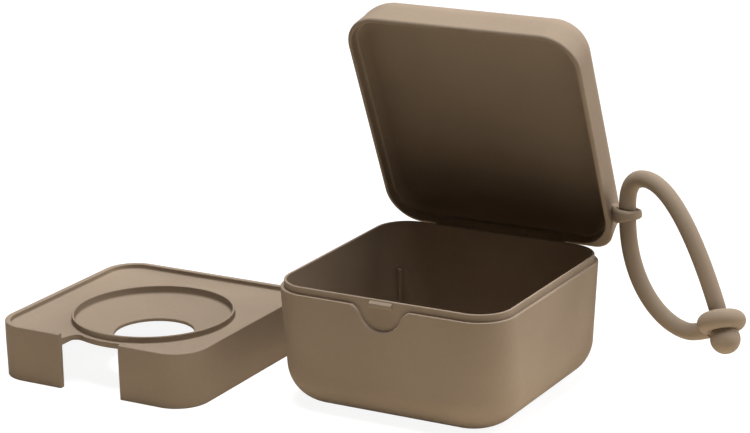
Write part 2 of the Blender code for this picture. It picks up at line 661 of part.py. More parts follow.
def torus(radius, tube, place):
    """A ring of round section about the place's z axis."""
    bm = bmesh.new()
    edges = ring_edges(bm, [Vector((radius + tube * math.cos(turn), 0, tube * math.sin(turn)))
                            for turn in (math.tau * side / STRAND_SIDES for side in range(STRAND_SIDES))])
    verts = list({vert for edge in edges for vert in edge.verts})
    bmesh.ops.spin(bm, geom=verts + edges, cent=(0, 0, 0), axis=(0, 0, 1), angle=math.tau,
                   steps=BARREL_SIDES, use_merge=True)
    bmesh.ops.transform(bm, matrix=place, verts=bm.verts)
    return bm


def sweep(route):
    """A round tube through (point, radius) pairs that lie in the loop's plane."""
    rings = []
    for number, (point, radius) in enumerate(route):
        before = route[max(number - 1, 0)][0]
        after = route[min(number + 1, len(route) - 1)][0]
        way = (after - before).normalized()
        side = Vector((-way.y, way.x))
        ring = []
        for step in range(STRAND_SIDES):
            turn = math.tau * step / STRAND_SIDES
            spot = point + side * (radius * math.cos(turn))
            ring.append(Vector((spot.x, radius * math.sin(turn), spot.y)))
        rings.append(ring)
    return skin(rings)


def make_pin(material):
    """The hinge pin, just short of the outer knuckles' ends."""
    end = BASE_KNUCKLE_END - PIN_INSET
    bm = rod((-end, 0, 0), (end, 0, 0), PIN_RADIUS, BARREL_SIDES)
    pin = add_object("hinge_pin", bm, material)
    pin.location = (0, HINGE_Y, HINGE_Z)
    return pin


def main():
    """Build the case."""
    clear_scene()
    make_base(make_material("base_plastic", TAUPE, 0.55, 0))
    hinge = bpy.data.objects.new("hinge_axis", None)
    hinge.location = (0, HINGE_Y, HINGE_Z)
    hinge.rotation_euler = (-math.radians(LID_OPEN_DEG), 0, 0)
    bpy.context.collection.objects.link(hinge)
    lid = make_lid(make_material("lid_plastic", TAUPE, 0.55, 0))
    lid.parent = hinge
    lid.location = (0, -HINGE_Y, -HINGE_Z)
    make_tray(make_material("tray_plastic", TAUPE, 0.55, 0))
    opened = Matrix.Rotation(-math.radians(LID_OPEN_DEG), 4, "X")
    eye_from_hinge = Vector((EYE_X, -EYE_FRONT_OF_HINGE, EYE_HEIGHT - HINGE_Z))
    eye_place = Vector((0, HINGE_Y, HINGE_Z)) + opened @ eye_from_hinge
    make_strap(make_material("strap_silicone", TAUPE_SOFT, 0.6, 0), eye_place)
    make_pin(make_material("pin_steel", STEEL, 0.3, 1))


main()
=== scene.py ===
"""Looks of the pacifier case: a box with a hinged lid, a lift-out tray and a carrying strap.

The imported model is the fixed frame. Every moulding is drawn again here with finer curves,
softened edges and its own finish, at the frame's places and close to its sizes. Metres,
+Z up, front towards -Y; the lid stands open and the tray stands beside the case.
"""
import logging
from dataclasses import dataclass, field
from enum import Enum
from math import atan2, copysign, cos, pi, radians, sin, sqrt, tan, tau
from typing import Callable, Iterable, Optional, Sequence

import bmesh
import bpy
from mathutils import Matrix, Vector


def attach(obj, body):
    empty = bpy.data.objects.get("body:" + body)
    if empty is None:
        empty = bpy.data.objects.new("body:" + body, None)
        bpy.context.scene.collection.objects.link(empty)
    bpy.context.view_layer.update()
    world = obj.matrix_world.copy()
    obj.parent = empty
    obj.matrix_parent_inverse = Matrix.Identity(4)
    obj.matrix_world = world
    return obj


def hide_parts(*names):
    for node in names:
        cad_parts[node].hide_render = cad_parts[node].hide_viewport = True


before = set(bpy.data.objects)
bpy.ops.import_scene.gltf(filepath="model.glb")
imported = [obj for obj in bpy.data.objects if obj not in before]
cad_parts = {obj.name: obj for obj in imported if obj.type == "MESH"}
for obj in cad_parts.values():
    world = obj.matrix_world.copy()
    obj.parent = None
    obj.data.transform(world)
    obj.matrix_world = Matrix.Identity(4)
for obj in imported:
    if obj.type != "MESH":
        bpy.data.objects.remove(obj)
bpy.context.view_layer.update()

BMesh, BMVert, BMEdge = bmesh.types.BMesh, bmesh.types.BMVert, bmesh.types.BMEdge
Socket = bpy.types.NodeSocket
Profile = Sequence[tuple[float, float]]

LOG = logging.getLogger("pacifier_case")
PHOTO_WIDTH = 750

QUARTER = pi / 2
OVERRUN = 0.002  # how far a tool reaches past what it cuts
HAIR = 0.00001  # keeps two faces from lying in one plane
WELD = 1e-7  # points closer than this are one point
LEVEL = 1e-6  # places closer than this are in line
SMALLEST_CORNER = 0.0002
CORNER_SHARE = 0.999  # a ring's point past this share of both sides is in the corner


class Body(Enum):
    """The frame's moving bodies."""

    CASE = "case"
    LID = "lid"
    STRAP = "strap"
    TRAY = "tray"


class Cut(Enum):
    """What a tool shape does to a moulding."""

    REMOVE = "DIFFERENCE"
    KEEP_SHARED = "INTERSECT"


# ---- sections and lofts


@dataclass(frozen=True)
class Section:
    """A level rounded rectangle through a moulding.

    half_x and half_y are its half widths, corner its corner radius and z its height.
    soft is the radius that rounds the wall's profile where it turns at this section, and
    lug the back right corner's own radius, where it has one.
    """

    half_x: float
    half_y: float
    corner: float
    z: float
    soft: float = 0.0
    lug: float = 0.0

    def inset(self, depth: float, z: float, soft: float = 0.0) -> "Section":
        """The section moved inwards by a depth, at another height."""
        lug = self.lug - depth if self.lug else 0.0
        return Section(self.half_x - depth, self.half_y - depth, self.corner - depth, z, soft, lug)

    def squarer(self, lug: float) -> "Section":
        """The section with its own radius at the back right corner."""
        return Section(self.half_x, self.half_y, self.corner, self.z, self.soft, lug)


def soften(sections: Sequence[Section], steps: int = 4) -> list[Section]:
    """Round a wall's profile wherever a section asks for it.

    Args:
        sections: The profile's corners in order.
        steps: How many steps each rounding takes.

    Returns:
        The sections with the rounded turns stepped out.
    """
    rounded = [sections[0]]
    for before, here, after in zip(sections, sections[1:], sections[2:]):
        if not here.soft:
            rounded.append(here)
            continue
        way_in = Vector((here.half_x - before.half_x, here.z - before.z)).normalized()
        way_out = Vector((after.half_x - here.half_x, after.z - here.z)).normalized()
        turn = way_in.angle(way_out)
        aside = (way_out - way_in * cos(turn)).normalized()
        reach = here.soft * tan(turn / 2)
        for step in range(steps + 1):
            angle = turn * step / steps
            move = way_in * (here.soft * sin(angle) - reach) + aside * here.soft * (1 - cos(angle))
            lug = here.lug + move.x if here.lug else 0.0
            rounded.append(Section(here.half_x + move.x, here.half_y + move.x,
                                   max(here.corner + move.x, SMALLEST_CORNER), here.z + move.y, lug=lug))
    return rounded + [sections[-1]]


def quarter_round(start: Section, end_corner: float, radius: float, towards: int,
                  steps: int = 16) -> list[Section]:
    """Sections of a quarter-round edge that turns inwards from a wall.

    Args:
        start: The wall's last section.
        end_corner: The corner radius where the edge has become level.
        radius: The edge's radius.
        towards: 1 where it climbs, -1 where it goes down.
        steps: How many steps it takes.

    Returns:
        The sections from the wall to the level face.
    """
    sections = []
    for step in range(steps + 1):
        turn = QUARTER * step / steps
        share = 1 - cos(turn)
        depth = radius * share
        lug = start.lug + (end_corner - start.lug) * share if start.lug else 0.0
        sections.append(Section(start.half_x - depth, start.half_y - depth,
                                start.corner + (end_corner - start.corner) * share,
                                start.z + towards * radius * sin(turn), lug=lug))
    return sections


class Loft:
    """A body drawn out ring by ring with the extrude operator."""

    def __init__(self, bm: BMesh, ring: list[BMVert]) -> None:
        """Start from a ring of vertices whose edges exist."""
        self.bm = bm
        self.ring = ring

    @classmethod
    def from_points(cls, points: Sequence[Vector], capped: bool = True) -> "Loft":
        """Start from a ring of points.

        Args:
            points: The ring in order.
            capped: Whether a face closes it.

        Returns:
            The loft.
        """
        bm = bmesh.new()
        ring = [bm.verts.new(point) for point in points]
        edges = [bm.edges.new((ring[i - 1], ring[i])) for i in range(len(ring))]
        if capped:
            bmesh.ops.contextual_create(bm, geom=edges)
        return cls(bm, ring)

    def edges(self) -> list[BMEdge]:
        """The edges of the ring that was drawn last."""
        return [self.bm.edges.get((self.ring[i - 1], self.ring[i])) for i in range(len(self.ring))]

    def draw_to(self, points: Sequence[Vector]) -> None:
        """Extrude the last ring and set the new one on the points."""
        made = bmesh.ops.extrude_edge_only(self.bm, edges=self.edges())
        fresh = {part for part in made["geom"] if isinstance(part, BMVert)}
        ring = []
        for vert, point in zip(self.ring, points):
            twin = next(edge.other_vert(vert) for edge in vert.link_edges if edge.other_vert(vert) in fresh)
            twin.co = point
            ring.append(twin)
        self.ring = ring

    def close(self) -> BMesh:
        """Cap the last ring and return the body."""
        bmesh.ops.edgeloop_fill(self.bm, edges=self.edges())
        return face_outwards(self.bm)

    def join_round(self) -> BMesh:
        """Weld the last ring, which lies on the first one, and return the body."""
        bmesh.ops.remove_doubles(self.bm, verts=self.bm.verts[:], dist=WELD)
        return face_outwards(self.bm)


def moulding(sections: Sequence[Section], corner_steps: int = 20, side_cuts: int = 0,
             lift: Optional[Callable[[Vector], float]] = None) -> BMesh:
    """A closed body through level rounded rectangles.

    Args:
        sections: The rectangles in order along the body's skin, from cap to cap.
        corner_steps: How many steps each corner takes.
        side_cuts: How many points stand along each straight side.
        lift: How much higher a point on the rings at z = 0 stands.

    Returns:
        The body.
    """
    first = sections[0]
    bm = bmesh.new()
    bmesh.ops.create_grid(bm, x_segments=1, y_segments=1, size=1)
    bmesh.ops.scale(bm, verts=bm.verts[:], vec=(first.half_x, first.half_y, 1))
    bmesh.ops.bevel(bm, geom=bm.verts[:], offset=first.corner, offset_type="OFFSET", segments=corner_steps,
                    profile=0.5, affect="VERTICES", material=-1)
    if side_cuts:
        sides = [edge for edge in bm.edges if edge.calc_length() > first.half_x]
        bmesh.ops.subdivide_edges(bm, edges=sides, cuts=side_cuts)
    bearings = []
    ring = [loop.vert for loop in bm.faces[:][0].loops]
    straight = (first.half_x - first.corner, first.half_y - first.corner)
    for vert in ring:
        middle = [max(-1.0, min(1.0, vert.co[i] / straight[i])) for i in (0, 1)]
        away = Vector([(vert.co[i] - middle[i] * straight[i]) / first.corner for i in (0, 1)])
        bearings.append((middle, away.normalized()))

    def placed(section: Section) -> list[Vector]:
        """The ring's points on a section."""
        points = []
        for middle, away in bearings:
            radius = section.lug if section.lug and min(middle) > CORNER_SHARE else section.corner
            point = Vector((middle[0] * (section.half_x - radius) + away.x * radius,
                            middle[1] * (section.half_y - radius) + away.y * radius, section.z))
            if lift and section.z < LEVEL:
                point.z += lift(point)
            points.append(point)
        return points

    for vert, point in zip(ring, placed(first)):
        vert.co = point
    loft = Loft(bm, ring)
    for section in sections[1:]:
        loft.draw_to(placed(section))
    return loft.close()


def arc(middle: tuple[float, float], radius: float, first: float, last: float,
        steps: int) -> list[tuple[float, float]]:
    """Points on an arc.

    Args:
        middle: The arc's middle.
        radius: Its radius.
        first: The bearing of its first point, in radians.
        last: The bearing of its last point.
        steps: How many steps it takes.

    Returns:
        The points as pairs.
    """
    turns = [first + (last - first) * step / steps for step in range(steps + 1)]
    return [(middle[0] + radius * cos(turn), middle[1] + radius * sin(turn)) for turn in turns]


def moved(bm: BMesh, place: Matrix) -> BMesh:
    """A body put in its place."""
    bmesh.ops.transform(bm, matrix=place, verts=bm.verts[:])
    return bm


def face_outwards(bm: BMesh) -> BMesh:
    """Turn all the faces of closed bodies outwards."""
    bmesh.ops.recalc_face_normals(bm, faces=bm.faces[:])
    return bm


def turned(profile: Profile, steps: int, place: Matrix) -> BMesh:
    """A ring turned about an axis from a closed profile.

    Args:
        profile: (radius, height) points round the profile.
        steps: Steps of the full turn.
        place: Puts the axis, which is z, where it belongs.

    Returns:
        The body.
    """
    bm = bmesh.new()
    verts = [bm.verts.new((radius, 0, height)) for radius, height in profile]
    edges = [bm.edges.new((verts[i - 1], verts[i])) for i in range(len(verts))]
    bmesh.ops.spin(bm, geom=verts + edges, cent=(0, 0, 0), axis=(0, 0, 1), angle=tau, steps=steps,
                   use_merge=True)
    return face_outwards(moved(bm, place))


def round_bar(radius: float, start: Vector, end: Vector, sides: int, edge: float = 0.0) -> BMesh:
    """A round bar between two points, with softened ends where an edge radius is given."""
    bm = bmesh.new()
    way = end - start
    place = Matrix.Translation((start + end) / 2) @ way.to_track_quat("Z", "Y").to_matrix().to_4x4()
    bmesh.ops.create_cone(bm, cap_ends=True, segments=sides, radius1=radius, radius2=radius,
                          depth=way.length, matrix=place)
    if edge:
        caps = [face for face in bm.faces if len(face.verts) > 4]
        round_edges(bm, [item for item in bm.edges if any(face in caps for face in item.link_faces)], edge)
    return face_outwards(bm)


def soft_block(low: Sequence[float], high: Sequence[float], edge: float) -> BMesh:
    """A box between two corners with rounded edges."""
    bm = bmesh.new()
    low_corner, high_corner = Vector(low), Vector(high)
    bmesh.ops.create_cube(bm, size=1, matrix=Matrix.Translation((low_corner + high_corner) / 2)
                          @ Matrix.Diagonal((*(high_corner - low_corner), 1)))
    if edge:
        round_edges(bm, bm.edges[:], edge)
    return face_outwards(bm)


def round_edges(bm: BMesh, edges: Iterable[BMEdge], radius: float, steps: int = 3) -> None:
    """Bevel edges to a round."""
    bmesh.ops.bevel(bm, geom=list(edges), offset=radius, offset_type="OFFSET", segments=steps, profile=0.5,
                    affect="EDGES", clamp_overlap=False, material=-1)


def sharp_edges(bm: BMesh, within: Callable[[Vector], bool], sharp_degrees: float = 40) -> list[BMEdge]:
    """The outward sharp edges in a region."""
    bm.normal_update()
    return [edge for edge in bm.edges if len(edge.link_faces) == 2 and edge.is_convex
            and edge.calc_face_angle(0) > radians(sharp_degrees)
            and within((edge.verts[0].co + edge.verts[1].co) / 2)]


def extruded(outline: Sequence[Vector], along: Vector) -> BMesh:
    """A flat outline pushed along a direction."""
    loft = Loft.from_points(outline)
    loft.draw_to([point + along for point in outline])
    return loft.close()


def as_mesh(bm: BMesh, name: str) -> bpy.types.Mesh:
    """A mesh made from a bmesh, which is used up."""
    mesh = bpy.data.meshes.new(name)
    bm.to_mesh(mesh)
    bm.free()
    return mesh


def added(name: str, data: bpy.types.ID) -> bpy.types.Object:
    """A new object in the scene."""
    item = bpy.data.objects.new(name, data)
    bpy.context.scene.collection.objects.link(item)
    return item


def merged(parts: Sequence[BMesh]) -> BMesh:
    """Several bodies gathered in one bmesh."""
    whole = bmesh.new()
    for part in parts:
        mesh = as_mesh(part, "part")
        whole.from_mesh(mesh)
        bpy.data.meshes.remove(mesh)
    return whole


def machined(body: BMesh, tools: Sequence[BMesh], cut: Cut) -> BMesh:
    """Work a body with tool shapes.

    Args:
        body: The body, which is used up.
        tools: The tool shapes, which are used up.
        cut: What they do.

    Returns:
        The worked body.
    """
    items = []
    for number, bm in enumerate([body, *tools]):
        item = added("work", as_mesh(bm, "work"))
        items.append(item)
        if number:
            step = items[0].modifiers.new("work", "BOOLEAN")
            step.operation, step.solver, step.object = cut.value, "EXACT", item
    graph = bpy.context.evaluated_depsgraph_get()
    result = bmesh.new()
    shaped = bpy.data.meshes.new_from_object(items[0].evaluated_get(graph))
    result.from_mesh(shaped)
    bpy.data.meshes.remove(shaped)
    for item in items:
        mesh = item.data
        bpy.data.objects.remove(item)
        bpy.data.meshes.remove(mesh)
    bmesh.ops.remove_doubles(result, verts=result.verts[:], dist=2 * WELD)
    bmesh.ops.dissolve_degenerate(result, edges=result.edges[:], dist=2 * WELD)
    return result


# ---- finishes


class Graph:
    """The node tree of a material or of the world, built node by node."""

    ramp_ends = (0.3, 0.7)

    def __init__(self, owner: bpy.types.ID) -> None:
        """Give the owner its tree."""
        owner.use_nodes = True
        self.nodes, self.links = owner.node_tree.nodes, owner.node_tree.links

    def feed(self, node: bpy.types.Node, inputs: dict) -> bpy.types.Node:
        """Set a node's inputs to values, or link them to the outputs of other nodes."""
        for key, value in inputs.items():
            if isinstance(value, Socket):
                self.links.new(value, node.inputs[key])
            else:
                node.inputs[key].default_value = value
        return node

    def add(self, kind: str, inputs: Optional[dict] = None, **settings: str) -> bpy.types.Node:
        """Add a node.

        Args:
            kind: The node's type without its prefix.
            inputs: Values or other nodes' outputs, by the input's name or number.
            settings: The node's own settings.

        Returns:
            The node.
        """
        node = self.nodes.new("ShaderNode" + kind)
        for name, value in settings.items():
            setattr(node, name, value)
        return self.feed(node, inputs or {})

    def noise(self, vector: Socket, scale: float, detail: float) -> Socket:
        """A noise texture's value on a vector."""
        return self.add("TexNoise", {"Vector": vector, "Scale": scale, "Detail": detail}).outputs["Fac"]

    def blend(self, value: Socket, low: Sequence[float], high: Sequence[float]) -> Socket:
        """A colour that goes from low to high as a noise value does."""
        ramp = self.add("ValToRGB", {"Fac": value})
        for element, position, colour in zip(ramp.color_ramp.elements, self.ramp_ends, (low, high)):
            element.position, element.color = position, colour
        return ramp.outputs["Color"]


@dataclass(frozen=True)
class MouldedFinish:
    """A moulded finish: a colour with a slow drift in tone under a fine grain.

    colour is linear. tone_drift is the share by which the colour drifts, over about
    drift_size, and speck_drift the share of the fine specks. grain_size and grain_height
    are the grain's spacing and depth.
    """

    name: str
    slot: str
    colour: tuple[float, float, float]
    roughness: float = 0.6
    roughness_drift: float = 0.05
    specular: float = 0.015
    tone_drift: float = 0.05
    drift_size: float = 0.03
    speck_drift: float = 0.02
    speck_share: float = 0.4
    grain_size: float = 0.0005
    grain_height: float = 0.00001
    grain_stretch: tuple[float, float, float] = (1.0, 1.0, 1.0)

    def material(self) -> bpy.types.Material:
        """Build the finish as a node material."""
        made = bpy.data.materials.new(self.name)
        graph = Graph(made)
        place = graph.add("TexCoord").outputs["Object"]
        stretched = graph.add("Mapping", {"Vector": place, "Scale": self.grain_stretch}).outputs["Vector"]
        drift = graph.noise(place, 1 / self.drift_size, 2)
        speck = graph.noise(stretched, self.speck_share / self.grain_size, 3)
        grain = graph.noise(stretched, 1 / self.grain_size, 4)
        tone = graph.blend(drift, *((*(part * (1 + side * self.tone_drift) for part in self.colour), 1)
                                    for side in (-1, 1)))
        fleck = graph.blend(speck, *((*(1 + side * self.speck_drift,) * 3, 1) for side in (-1, 1)))
        colour = graph.add("Mix", {"Factor": 1.0, 6: tone, 7: fleck},
                           data_type="RGBA", blend_type="MULTIPLY")
        rough = graph.add("MapRange", {"Value": speck, "To Min": self.roughness - self.roughness_drift,
                                       "To Max": self.roughness + self.roughness_drift})
        bump = graph.add("Bump", {"Strength": 1.0, "Distance": self.grain_height, "Height": grain})
        graph.feed(graph.nodes["Principled BSDF"], {
            "Specular IOR Level": self.specular, "Base Color": colour.outputs[2],
            "Roughness": rough.outputs["Result"], "Normal": bump.outputs["Normal"]})
        return made


TAUPE = (0.325, 0.255, 0.19)
BASE_PLASTIC = MouldedFinish("taupe_base_plastic", "base_plastic", TAUPE)
LID_PLASTIC = MouldedFinish("taupe_lid_plastic", "lid_plastic", TAUPE)
TRAY_PLASTIC = MouldedFinish("taupe_tray_plastic", "tray_plastic", TAUPE)
STRAP_SILICONE = MouldedFinish("taupe_strap_silicone", "strap_silicone", (0.315, 0.247, 0.183),
                               roughness=0.65, specular=0.03, grain_size=0.0004, grain_height=0.000006)
# The pin's near-black colour is painted shade over the hinge, not the steel's own colour.
PIN_STEEL = MouldedFinish("pin_steel_painted_shade", "pin_steel", (0.03, 0.025, 0.02), roughness=0.6,
                          specular=0.03, tone_drift=0.03, grain_size=0.0003, grain_height=0.000003,
                          grain_stretch=(0.05, 1.0, 1.0))


def dressed(name: str, bm: BMesh, body: Body, node: str, finish: MouldedFinish,
            sharp_degrees: float = 32) -> None:
    """Turn a body into a named piece of the object.

    Args:
        name: The piece's name.
        bm: Its shape, which is used up.
        body: The frame body it rides on.
        node: The frame node it stands for.
        finish: Its finish.
        sharp_degrees: Edges that turn more than this stay crisp.
    """
    mesh = as_mesh(bm, name)
    mesh.materials.append(bpy.data.materials.get(finish.name) or finish.material())
    mesh.shade_smooth()
    mesh.set_sharp_from_angle(angle=radians(sharp_degrees))
    piece = added(name, mesh)
    even = piece.modifiers.new("even_normals", "WEIGHTED_NORMAL")
    even.keep_sharp = True
    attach(piece, body.value)
    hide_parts(node)
    LOG.info("%s: %d faces on body %s", name, len(mesh.polygons), body.value)


# ---- the shared hinge


@dataclass(frozen=True)
class Hinge:
    """The hinge line and its knuckle sizes, shared by base, lid and pin."""

    y: float = 0.0376
    z: float = 0.03405
    barrel_radius: float = 0.0019
    room_clearance: float = 0.0001
    pin_radius: float = 0.0008
    pin_clearance: float = 0.0002
    lid_half: float = 0.0087
    base_length: float = 0.0120
    gap: float = 0.0003
    web_height: float = 0.0040
    web_edge: float = 0.00015
    web_thickest: float = 0.0012
    pin_short: float = 0.0005
    barrel_edge: float = 0.0002
    open_degrees: float = 66.8
    room_sides: int = 48
    barrel_steps: int = 64

    @property
    def base_start(self) -> float:
        """Where a base knuckle starts, from the middle."""
        return self.lid_half + self.gap

    @property
    def base_end(self) -> float:
        """Where a base knuckle ends."""
        return self.base_start + self.base_length

    @property
    def place(self) -> Matrix:
        """Moves a shape from the hinge line's own frame to the case."""
        return Matrix.Translation((0, self.y, self.z))

    @property
    def opened(self) -> Matrix:
        """Turns a shape from the closed lid to the open one."""
        return self.place @ Matrix.Rotation(-radians(self.open_degrees), 4, "X") @ self.place.inverted()

    def room(self, start: float, end: float) -> BMesh:
        """The round space that the opposite knuckle turns in."""
        middle = Vector((0, self.y, self.z))
        reach = self.barrel_radius + self.room_clearance
        return round_bar(reach, middle + Vector((start - self.gap, 0, 0)),
                         middle + Vector((end + self.gap, 0, 0)), self.room_sides)

    def knuckle(self, start: float, end: float, web: Profile) -> BMesh:
        """A bored barrel between two x positions with the web that carries it.

        Args:
            start: The barrel's first x.
            end: Its last x.
            web: The web's (y, z) outline from the hinge line, outside the bore.

        Returns:
            The knuckle.
        """
        bore, radius, edge = self.pin_radius + self.pin_clearance, self.barrel_radius, self.barrel_edge
        half = (end - start) / 2
        profile = [(bore, -half), *arc((radius - edge, edge - half), edge, -QUARTER, 0, 3),
                   *arc((radius - edge, half - edge), edge, 0, QUARTER, 3), (bore, half)]
        along = Matrix.Translation(((start + end) / 2, 0, 0)) @ Matrix.Rotation(QUARTER, 4, "Y")
        barrel = turned(profile, self.barrel_steps, self.place @ along)
        carrier = extruded([Vector((start + edge, y, z)) for y, z in web],
                           Vector((end - start - 2 * edge, 0, 0)))
        rims = [item for item in carrier.edges if item.calc_length() > self.web_thickest
                and abs(item.verts[0].co.x - item.verts[1].co.x) < LEVEL]
        round_edges(carrier, rims, self.web_edge, 2)
        return merged([barrel, face_outwards(moved(carrier, self.place))])

    def meet(self, first: float, last: float, steps: int = 6) -> Profile:
        """Points inside the barrel's wall where a web ends, between two bearings in degrees."""
        radius = (self.pin_radius + self.pin_clearance + self.barrel_radius) / 2
        return arc((0, 0), radius, radians(first), radians(last), steps)


HINGE = Hinge()


# ---- base


@dataclass
class Base:
    """The lower shell, with its collar, thumb notch, latch bead, tray rests and knuckles."""

    half_x: float = 0.0360
    half_y: float = 0.0364
    corner: float = 0.0110
    low_corner: float = 0.0148
    fillet: float = 0.0116
    seam: float = 0.0342
    wall: float = 0.0018
    floor: float = 0.0020
    collar_inset: float = 0.00105
    collar_rise: float = 0.0019
    edge: float = 0.0003
    collar_foot: float = 0.00012
    collar_groove: float = 0.0004
    thumb_radius: float = 0.0068
    thumb_depth: float = 0.0072
    thumb_mouth: float = 0.0045
    thumb_edge: float = 0.0003
    thumb_foot: float = 0.0002
    thumb_edge_steps: int = 6
    thumb_foot_steps: int = 4
    mouth_steps: int = 12
    thumb_steps: int = 24
    bead_width: float = 0.0076
    bead_proud: float = 0.0009
    bead_height: float = 0.0024
    bead_top_slope: float = 0.0010
    bead_end_slope: float = 0.0004
    bead_under_slope: float = 0.0003
    bead_edge: float = 0.0002
    rest_thickness: float = 0.0011
    rest_reach: float = 0.0028
    rest_top: float = 0.0218
    rest_edge: float = 0.0002
    web_under: float = 0.0003
    gate_radius: float = 0.0011
    gate_depth: float = 0.00025
    gate_sides: int = 32
    web_bearings: tuple[float, float] = (-45, -170)

    @property
    def collar_top(self) -> float:
        """The collar's height."""
        return self.seam + self.collar_rise

    def outline(self, depth: float = 0.0) -> Section:
        """The outer outline at the seam, moved inwards."""
        return Section(self.half_x, self.half_y, self.corner, self.seam).inset(depth, self.seam)

    def outer(self, depth: float = 0.0) -> list[Section]:
        """Outer sections from below the seam to the underside, moved inwards."""
        start = Section(self.half_x, self.half_y, self.low_corner, self.fillet).inset(depth, self.fillet)
        return quarter_round(start, self.low_corner - self.fillet, self.fillet - depth, -1)

    def inner(self) -> list[Section]:
        """Inner sections from the floor up to the collar's inside."""
        start = Section(self.half_x, self.half_y, self.low_corner, self.fillet)
        start, radius = start.inset(self.wall, self.fillet), self.fillet - self.floor
        return list(reversed(quarter_round(start, start.corner - radius, radius, -1)))

    def shell(self) -> BMesh:
        """The shell's skin from the inside floor over the collar to the underside."""
        seam = self.outline()
        turn = [self.outline(self.wall).inset(0, self.collar_top, self.edge),
                self.outline(self.collar_inset).inset(0, self.collar_top, self.edge),
                self.outline(self.collar_inset).inset(0, self.seam - self.collar_groove, self.collar_foot),
                seam.inset(0, self.seam, self.edge)]
        outer = self.outer()
        return moulding(self.inner() + soften([self.inner()[-1], *turn, outer[0]])[1:-1] + outer)

    def thumb_outline(self, y: float, grow: float) -> list[Vector]:
        """The thumb notch's outline at a depth, grown outwards.

        Args:
            y: The outline's depth.
            grow: How much wider than the notch it is.

        Returns:
            The outline, from the right of the mouth round the bottom to the left.
        """
        middle_z = self.seam - self.thumb_depth + self.thumb_radius
        mouth_z = self.seam - self.thumb_mouth
        span = self.thumb_radius + self.thumb_mouth
        mouth_x = sqrt(span ** 2 - (mouth_z - middle_z) ** 2)
        meet = atan2(mouth_z - middle_z, mouth_x)
        right = [(mouth_x, self.collar_top + self.collar_rise),
                 *arc((mouth_x, mouth_z), self.thumb_mouth - grow, QUARTER, pi + meet, self.mouth_steps),
                 *arc((0, middle_z), self.thumb_radius + grow, meet, -QUARTER, self.thumb_steps)[1:-1]]
        whole = [*right, (0, middle_z - self.thumb_radius - grow), *((-x, z) for x, z in reversed(right))]
        return [Vector((x, y, z)) for x, z in whole]

    def thumb_tool(self) -> BMesh:
        """The thumb notch's cutter: flared at the wall's face, drawn in at its floor."""
        front = -self.half_y
        floor = front + self.collar_inset - HAIR
        loft = Loft.from_points(self.thumb_outline(front - OVERRUN, self.thumb_edge))
        loft.draw_to(self.thumb_outline(front - 2 * HAIR, self.thumb_edge))
        for step in range(1, self.thumb_edge_steps + 1):
            turn = QUARTER * step / self.thumb_edge_steps
            loft.draw_to(self.thumb_outline(front + self.thumb_edge * (1 - cos(turn)),
                                            self.thumb_edge * (1 - sin(turn))))
        for step in range(self.thumb_foot_steps + 1):
            turn = QUARTER * step / self.thumb_foot_steps
            loft.draw_to(self.thumb_outline(floor - self.thumb_foot * (1 - sin(turn)),
                                            -self.thumb_foot * (1 - cos(turn))))
        return loft.close()

    def bead(self) -> BMesh:
        """The latch bead on the collar's front, sloped all round."""
        root = -self.half_y + self.collar_inset
        half = self.bead_width / 2
        bottom, top = self.collar_top - self.bead_height, self.collar_top - 2 * HAIR
        bm = soft_block((-half, root - self.bead_proud, bottom), (half, root + 2 * self.edge, top), 0)
        for vert in [vert for vert in bm.verts if vert.co.y < root]:
            vert.co.x -= copysign(self.bead_end_slope, vert.co.x)
            vert.co.z += self.bead_under_slope if vert.co.z < (bottom + top) / 2 else -self.bead_top_slope
        round_edges(bm, bm.edges[:], self.bead_edge)
        return face_outwards(bm)

    def rests(self) -> BMesh:
        """Thin upright rests for the tray across the four inner corners."""
        posts = []
        share = 1 - cos(pi / 4)
        reach = self.corner - self.wall
        length = 2 * (self.rest_reach + self.wall)
        for sx, sy in ((1, 1), (-1, 1), (-1, -1), (1, -1)):
            inward = (self.rest_reach - length / 2) * cos(pi / 4)
            spot = Vector((sx * (self.half_x - self.wall - reach * share - inward),
                           sy * (self.half_y - self.wall - reach * share - inward), self.rest_top / 2))
            bm = soft_block((-length / 2, -self.rest_thickness / 2, -self.rest_top / 2),
                            (length / 2, self.rest_thickness / 2, self.rest_top / 2), self.rest_edge)
            posts.append(moved(bm, Matrix.Translation(spot) @ Matrix.Rotation(atan2(sy, sx), 4, "Z")))
        half_wall = self.wall / 2
        core = moulding([self.outline(half_wall)] + self.outer(half_wall))
        return machined(merged(posts), [core], Cut.KEEP_SHARED)

    def knuckle_web(self) -> Profile:
        """The outline of a web under a base knuckle, from the hinge line."""
        face = self.half_y - HINGE.y
        return [(face - self.edge, -HINGE.web_height), (face, -HINGE.web_height),
                *HINGE.meet(*self.web_bearings), (face - self.edge, -self.web_under)]

    def build(self) -> None:
        """Build and dress the base's pieces."""
        under = Vector((0, 0, self.gate_depth))
        gate = round_bar(self.gate_radius, under - Vector((0, 0, OVERRUN)), under, self.gate_sides)
        room = HINGE.room(-HINGE.lid_half, HINGE.lid_half)
        shell = machined(self.shell(), [self.thumb_tool(), room, gate], Cut.REMOVE)
        knuckles = [HINGE.knuckle(start, start + HINGE.base_length, self.knuckle_web())
                    for start in (-HINGE.base_end, HINGE.base_start)]
        for name, bm in (("base_shell", shell), ("base_latch_bead", self.bead()),
                         ("base_tray_rests", self.rests()), ("base_knuckles", merged(knuckles))):
            dressed(name, bm, Body.CASE, "base", BASE_PLASTIC)


# ---- lid


